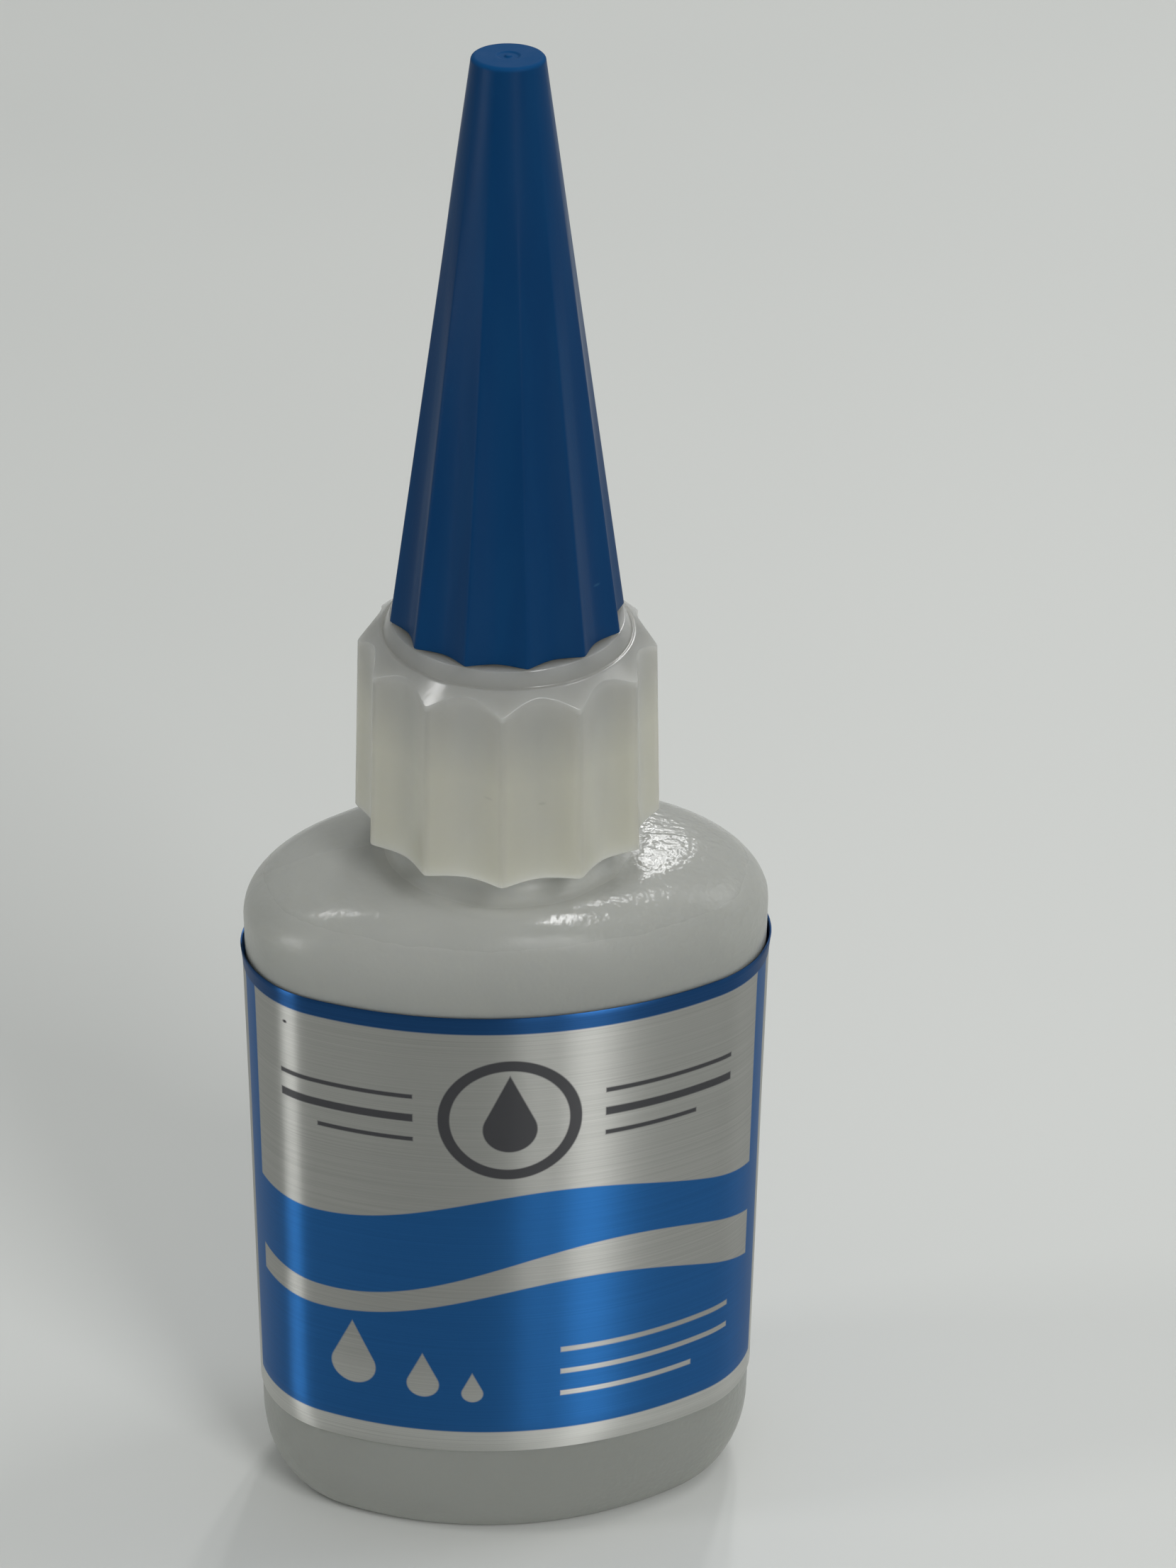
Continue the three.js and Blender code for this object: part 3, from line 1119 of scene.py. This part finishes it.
@dataclass
class Wrap:
    """Foil label: a thin strip round the straight wall, with its seam at the back's middle."""

    oval: Oval
    foot: float = 7.5
    head: float = 41.7
    glue: float = 0.04
    thickness: float = 0.1
    edge: float = 0.03
    seam: float = 1.2
    columns: int = 320
    rows: int = 20
    row_crowding: float = 1.5
    lift: float = 0.16
    lift_width: float = 4.0
    lift_depth: float = 2.6

    def lifted(self, along: np.ndarray, z: np.ndarray) -> np.ndarray:
        """Works out how far the wrap's head stands off the bottle at both ends of the oval.

        Along the wrap the lift is a bell curve round each end. It dies away as a
        square below the head.

        Args:
            along: Lengths from the right end of the oval.
            z: Heights.

        Returns:
            Distances, lengths x heights.
        """
        bell = np.exp(-((self.oval.off_ends(along) / self.lift_width) ** 2))
        share = np.clip(1 - (self.head - z) / self.lift_depth, 0, 1)
        return self.lift * bell[:, None] * share[None] ** 2

    def build(self) -> None:
        """Builds the strip.

        A ring goes round the strip's section: down its outside, under its foot, up its
        inside and over its head. The rings follow the outline of the bottle from one
        side of the seam to the other. The map's first number is the share of the
        length, its second the share of the height.
        """
        outer, tall = -self.glue - self.thickness, self.head - self.foot
        whole = self.oval.around(outer)
        length = whole - self.seam
        share = np.linspace(0, 1, self.columns + 1)
        along = (whole / 4 + self.seam / 2 + share * length) % whole
        angles = self.oval.angles_at(along, outer)
        high, low = self.head - self.edge, self.foot + self.edge
        face = self.head - tall * np.linspace(0, 1, self.rows + 1) ** self.row_crowding
        face[0], face[-1] = high, low
        z = np.concatenate([[self.head], face, [self.foot, low, high]])
        turned = outer + self.edge
        inset = np.concatenate([[turned], np.full(len(face), outer), [turned], [-self.glue] * 2])
        normal = np.stack([np.cos(angles), np.sin(angles)], -1)
        out = self.lifted(along, z) - inset
        rings = np.empty((len(angles), len(z), 3))
        rings[:, :, :2] = self.oval.points(angles, 0)[:, None] + normal[:, None] * out[:, :, None]
        rings[:, :, 2] = z
        wrap = np.stack(np.broadcast_arrays(share[:, None], (z - self.foot) / tall), -1)
        skin = Skin("foil_wrap", rings, Ends.CAPPED, wrap)
        skin.place("bottle", "label", "label_foil", PrintedFoil(length, tall).make())


@dataclass
class Liquid:
    """The adhesive in the bottle, with a surface that climbs a little at its edge."""

    bottle: Bottle
    clearance: float = 0.3
    depth: float = 33.8
    climb: float = 0.35
    climb_reach: float = 0.12
    middle: float = 0.05
    steps: int = 14

    def build(self) -> None:
        """Builds the liquid: the bottle's inside moved in, closed by a surface that sinks inwards.

        The surface sinks from its edge as 1 - exp(-d), where d is the share of the way
        in over the reach of the climb.
        """
        bottle, inset = self.bottle, self.bottle.wall + self.clearance
        level = inset + self.depth
        t = np.linspace(1, self.middle, self.steps)
        sunk = level - self.climb * (1 - np.exp(-(1 - t) / self.climb_reach))
        rows = np.concatenate([
            bottle.base_rows(inset),
            bottle.wall_rows(level, 6),
            bottle.rows(x=t, y=t, z=sunk),
        ])
        skin = Skin("adhesive_liquid", bottle.rings(rows, inset), Ends.CAPPED)
        skin.place("bottle", "adhesive_fill", "adhesive", CLEAR_LIQUID.make())


@dataclass(frozen=True)
class Flutes:
    """Hollows round a moulding: between two ridges the radius dips as a parabola."""

    count: int = 12
    steps: int = 24
    ridge_round: float = 0.07

    def columns(self) -> tuple[np.ndarray, np.ndarray]:
        """Spaces the columns, closer at the ridges.

        Across a flute u runs from -1 to 1 as the sine of an even scale. The dip is
        2e - e^2, where e is the distance from the nearer ridge, rounded at the ridge
        to sqrt(e^2 + r^2) - r.

        Returns:
            Angles of the columns, the first at the front, and dips from 0 to about 1.
        """
        u = np.sin(QUARTER_TURN * (2 * np.arange(self.steps) / self.steps - 1))
        turn = (np.arange(self.count)[:, None] + (u + 1) / 2) * FULL_TURN / self.count
        e = np.sqrt((1 - np.abs(u)) ** 2 + self.ridge_round**2) - self.ridge_round
        return turn.ravel() - QUARTER_TURN, np.tile(2 * e - e * e, self.count)


def turned_rings(profile: np.ndarray, angles: np.ndarray, lift: float) -> np.ndarray:
    """Carries a profile, rows x columns x 2, round the axis at the columns' angles."""
    radius, z = profile[:, :, 0], profile[:, :, 1]
    return np.stack([radius * np.cos(angles), radius * np.sin(angles), z + lift], -1)


@dataclass
class DispensingTop:
    """One moulding: fluted skirt, arched chamfer, ledge, boss, spigot, nozzle and plug seal."""

    lift: float = 50.85
    turn: float = -6.35
    bore: float = 6.95
    ridge: float = 8.93
    flute: float = 0.88
    flare: float = 0.37
    chamfer_height: float = 1.08
    chamfer_overrun: float = 0.4
    roof: float = 10.3
    ledge: float = 12.52
    boss_foot: float = 7.42
    boss: float = 7.0
    boss_top: float = 13.42
    spigot: float = 5.15
    spigot_top: float = 16.82
    nozzle_root: float = 3.3
    nozzle_tip: float = 1.1
    nozzle_wall: float = 0.9
    tip_height: float = 44.62
    tip_edge: float = 0.2
    orifice: float = 0.5
    plug: float = 4.75
    plug_wall: float = 0.9
    plug_bottom: float = 7.8
    tone_end: float = 0.05
    plain_tone: float = 0.5
    flutes: Flutes = Flutes()
    thread: ScrewThread = ScrewThread(2.7, 0.3, 1.3, 1.0, 8.6, 0.5)

    def corners(self, dip: np.ndarray) -> list[Corner]:
        """Lists the section's corners, from the skirt's edge up the outside and down the inside.

        The chamfer's cone meets each flute in an arch: its lower edge rises by as much
        as the flute dips, times the cone's slope.

        Args:
            dip: The flutes' share of their depth in each column.

        Returns:
            The corners.
        """
        width = self.flute + self.chamfer_overrun
        arch = self.ledge - self.chamfer_height + self.flute * dip * self.chamfer_height / width
        inner = self.plug - self.plug_wall
        return [
            Corner(self.ridge + self.flare - self.flute * dip, 0.0, 0.14, 8),
            Corner(self.ridge - self.flute * dip, arch, 0.04, 2),
            Corner(self.ridge - width, self.ledge, 0.08, 2),
            Corner(self.boss_foot, self.ledge, 0.06, 2),
            Corner(self.boss, self.boss_top, 0.05, 2),
            Corner(self.spigot, self.boss_top, 0.15, 3),
            Corner(self.spigot, self.spigot_top, 0.3, 2),
            Corner(self.nozzle_root, self.spigot_top, 0.5, 10),
            Corner(self.nozzle_tip, self.tip_height - self.tip_edge, 0.1),
            Corner(self.nozzle_tip - self.tip_edge, self.tip_height, 0.06),
            Corner(self.orifice, self.tip_height, 0.1, 10),
            Corner(self.nozzle_root - self.nozzle_wall, self.spigot_top, 0.3, 3),
            Corner(inner, self.roof, 0.3, 3),
            Corner(inner, self.plug_bottom, 0.2),
            Corner(self.plug, self.plug_bottom, 0.2, 3),
            Corner(self.plug, self.roof, 0.3, 2),
            Corner(self.bore, self.roof, 0.3, 44),
            Corner(self.bore, 0.0, 0.15, 2),
        ]

    def build(self) -> None:
        """Builds the top: the rounded section carried round, the thread standing in from the bore.

        The map's first number is the flutes' dip below the arches and an even tone above; the
        finish turns it into painted shading across the flutes.
        """
        angles, dip = self.flutes.columns()
        angles = angles + math.radians(self.turn)
        corners = self.corners(dip)
        profile = rounded_profile(corners, len(dip), True)
        radius, z = profile[:, :, 0], profile[:, :, 1]
        on_bore = np.abs(radius - self.bore) < SAME
        radius -= on_bore * self.thread.rise(np.broadcast_to(angles, z.shape), z)
        # The map's first number drives the finish's painted shading across the flutes.
        hollow = np.where(z < corners[1].height - self.tone_end, dip, self.plain_tone)
        wrap = np.stack([hollow, z / self.tip_height], -1)
        rings = turned_rings(profile, angles, self.lift)
        skin = Skin("screw_top", rings, Ends.JOINED, wrap)
        skin.place("dispensing_top", "dispensing_top", "top_plastic", TOP_PLASTIC.make())


@dataclass
class ConeCap:
    """Hollow cone whose flutes fade out towards its flat top, with a gate mark on the crown."""

    lift: float = 64.37
    turn: float = 5.1
    base: float = 7.04
    top: float = 2.07
    flute: float = 0.64
    fade: float = 0.76
    fade_soft: float = 0.12
    bore: float = 5.4
    grip: float = 3.4
    hollow: float = 1.35
    hollow_middle: float = 0.2
    hollow_top: float = 31.9
    height: float = 34.5
    edge: float = 0.15
    wall_least: float = 0.3
    gate: float = 0.55
    gate_rim: float = 0.12
    gate_depth: float = 0.07
    nib_foot: float = 0.24
    nib: Span = (0.16, 0.02)
    nib_tip: Span = (0.06, 0.03)
    flutes: Flutes = Flutes()

    def corners(self, dip: np.ndarray) -> list[Corner]:
        """Lists the section's corners, from the hollow's end out over the base and up to the crown.

        Args:
            dip: The flutes' share of their depth in each column.

        Returns:
            The corners.
        """
        sunk = self.height - self.gate_depth
        return [
            Corner(self.hollow_middle, self.hollow_top, 0.0, 2),
            Corner(self.hollow, self.hollow_top, 0.3, 8),
            Corner(self.bore, self.grip, 0.5, 2),
            Corner(self.bore, 0.0, 0.2, 2),
            Corner(self.base - self.flute * dip, 0.0, 0.1, 24),
            Corner(self.top, self.height - self.edge, 0.1),
            Corner(self.top - self.edge, self.height, 0.1, 4),
            Corner(self.gate + self.gate_rim, self.height, 0.06),
            Corner(self.gate, sunk, 0.05),
            Corner(self.nib_foot, sunk, 0.05),
            Corner(self.nib[0], self.height + self.nib[1], 0.04),
            Corner(self.nib_tip[0], self.height + self.nib_tip[1]),
        ]

    def build(self) -> None:
        """Builds the cap: the rounded section carried round.

        The flutes' depth falls with the height and is gone at a share of it, as half of
        w + sqrt(w^2 + s^2), where w falls evenly to 0 there and s softens the end. The
        gate is a shallow dish with a small nib in it.
        """
        angles, dip = self.flutes.columns()
        profile = rounded_profile(self.corners(dip), len(dip), False)
        radius = profile[:, :, 0]
        share = np.clip(profile[:, :, 1] / (self.height - self.edge), 0, 1)
        cone = self.base + (self.top - self.base) * share
        on_side = radius > cone - self.flute - self.wall_least
        left = 1 - share / self.fade
        depth = (left + np.hypot(left, self.fade_soft)) / 2
        radius += on_side * self.flute * dip * (1 - share - depth)
        rings = turned_rings(profile, angles + math.radians(self.turn), self.lift)
        skin = Skin("cone_cap", rings, Ends.CAPPED)
        skin.place("cap", "cap", "cap_plastic", BlueMoulding().make())


@dataclass(frozen=True)
class SoftLamp:
    """A soft light with a rectangular face, towards a point, turned about its axis, in metres."""

    name: str
    direction: Triple
    distance: float
    size: Span
    power: float
    turn: float = 0.0
    spread: float = 180.0
    target: Triple = (0.0, 0.0, 0.045)

    def build(self) -> None:
        """Adds the lamp."""
        light = bpy.data.lights.new(self.name, "AREA")
        light.shape = "RECTANGLE"
        light.size, light.size_y = self.size
        light.energy, light.spread = self.power, math.radians(self.spread)
        made = add_object(self.name, light)
        made.location = Vector(self.target) + Vector(self.direction).normalized() * self.distance
        facing = (Vector(self.target) - made.location).to_track_quat("-Z", "Y")
        turned = facing @ Quaternion((0.0, 0.0, 1.0), math.radians(self.turn))
        made.rotation_euler = turned.to_euler()


@dataclass(frozen=True)
class Studio:
    """Table, lamps, world and camera, whose place is in millimetres."""

    place: Triple = (-15.2911, -192.1423, 169.4714)
    azimuth: float = -6.0123
    elevation: float = 31.2485
    roll: float = 0.8447
    lens: float = 84.949
    sensor: float = 36.0
    clip: Span = (0.01, 20.0)
    floor_reach: float = 1.6
    floor_drop: float = 0.00002
    floor_points: int = 9
    world: float = 0.345
    world_colour: Colour = (0.97, 1.0, 0.985)
    lamps: tuple[SoftLamp, ...] = (
        SoftLamp("overhead", (0.25, 0.15, 1.0), 0.9, (0.8, 0.8), 0.6),
        SoftLamp("key_window", (0.363, -0.655, 0.663), 0.8, (0.36, 0.06), 2.2, 51.0),
        SoftLamp("back_window", (0.193, 0.775, 0.602), 0.9, (0.05, 0.24), 0.7),
        SoftLamp("back_right_window", (0.295, 0.731, 0.616), 0.9, (0.05, 0.3), 0.75),
        SoftLamp("front_pane", (0.13, -0.985, 0.043), 0.9, (0.12, 0.16), 0.0155, spread=40.0),
        SoftLamp("front_wide_pane", (0.364, -0.925, 0.043), 0.9, (0.19, 0.16), 0.0197, spread=40.0),
        SoftLamp("left_pane", (-0.945, -0.307, 0.02), 0.9, (0.26, 0.12), 0.0605, spread=40.0),
        SoftLamp("left_window", (-0.627, -0.055, 0.777), 0.9, (0.1, 0.18), 0.68),
        SoftLamp("right_pane", (0.807, 0.142, 0.574), 0.9, (0.4, 0.3), 0.6),
        SoftLamp("right_window", (0.45, 0.1, 0.88), 1.0, (0.2, 0.14), 0.9),
    )

    def floor(self) -> None:
        """Lays the table top: a level square grid."""
        n = self.floor_points
        across = np.linspace(-self.floor_reach, self.floor_reach, n)
        x, y = np.meshgrid(across, across)
        points = np.stack([x, y, np.full_like(x, -self.floor_drop)], -1).reshape(-1, 3)
        low = (np.arange(n - 1)[:, None] * n + np.arange(n - 1)).ravel()
        faces = np.stack([low, low + 1, low + n + 1, low + n], -1)
        mesh = bpy.data.meshes.new("table_top")
        mesh.from_pydata(points.tolist(), [], faces.tolist())
        mesh.materials.append(PALE_TABLE.make())
        made = add_object("table_top", mesh)

    def camera(self) -> None:
        """Sets the camera at the photograph's angle: azimuth and elevation, then its roll."""
        a, e, r = (math.radians(v) for v in (self.azimuth, self.elevation, self.roll))
        back = Vector((math.sin(a) * math.cos(e), -math.cos(a) * math.cos(e), math.sin(e)))
        level = Vector((math.cos(a), math.sin(a), 0.0))
        right = level * math.cos(r) + back.cross(level) * math.sin(r)
        data = bpy.data.cameras.new("view")
        data.lens, data.sensor_width = self.lens, self.sensor
        data.clip_start, data.clip_end = self.clip
        made = add_object("view", data)
        turned = Matrix((right, back.cross(right), back)).transposed().to_4x4()
        made.matrix_world = Matrix.Translation(Vector(self.place) * MM) @ turned
        bpy.context.scene.camera = made

    def sky(self) -> None:
        """Sets an even grey world."""
        world = bpy.data.worlds.new("soft_room")
        world.use_nodes = True
        background = world.node_tree.nodes["Background"]
        background.inputs["Color"].default_value = (*self.world_colour, 1.0)
        background.inputs["Strength"].default_value = self.world
        bpy.context.scene.world = world

    def build(self) -> None:
        """Sets up the table, the light and the view."""
        self.floor()
        self.sky()
        for lamp in self.lamps:
            lamp.build()
        self.camera()
        bpy.context.scene.view_settings.view_transform = "Standard"


def main() -> None:
    """Builds the pieces in order, then the studio round them."""
    logging.basicConfig(level=logging.INFO, format="%(name)s: %(message)s")
    oval = Oval()
    bottle = Bottle(oval)
    for piece in (bottle, Wrap(oval), Liquid(bottle), DispensingTop(), ConeCap()):
        piece.build()
    Studio().build()


if __name__ == "__main__":
    main()
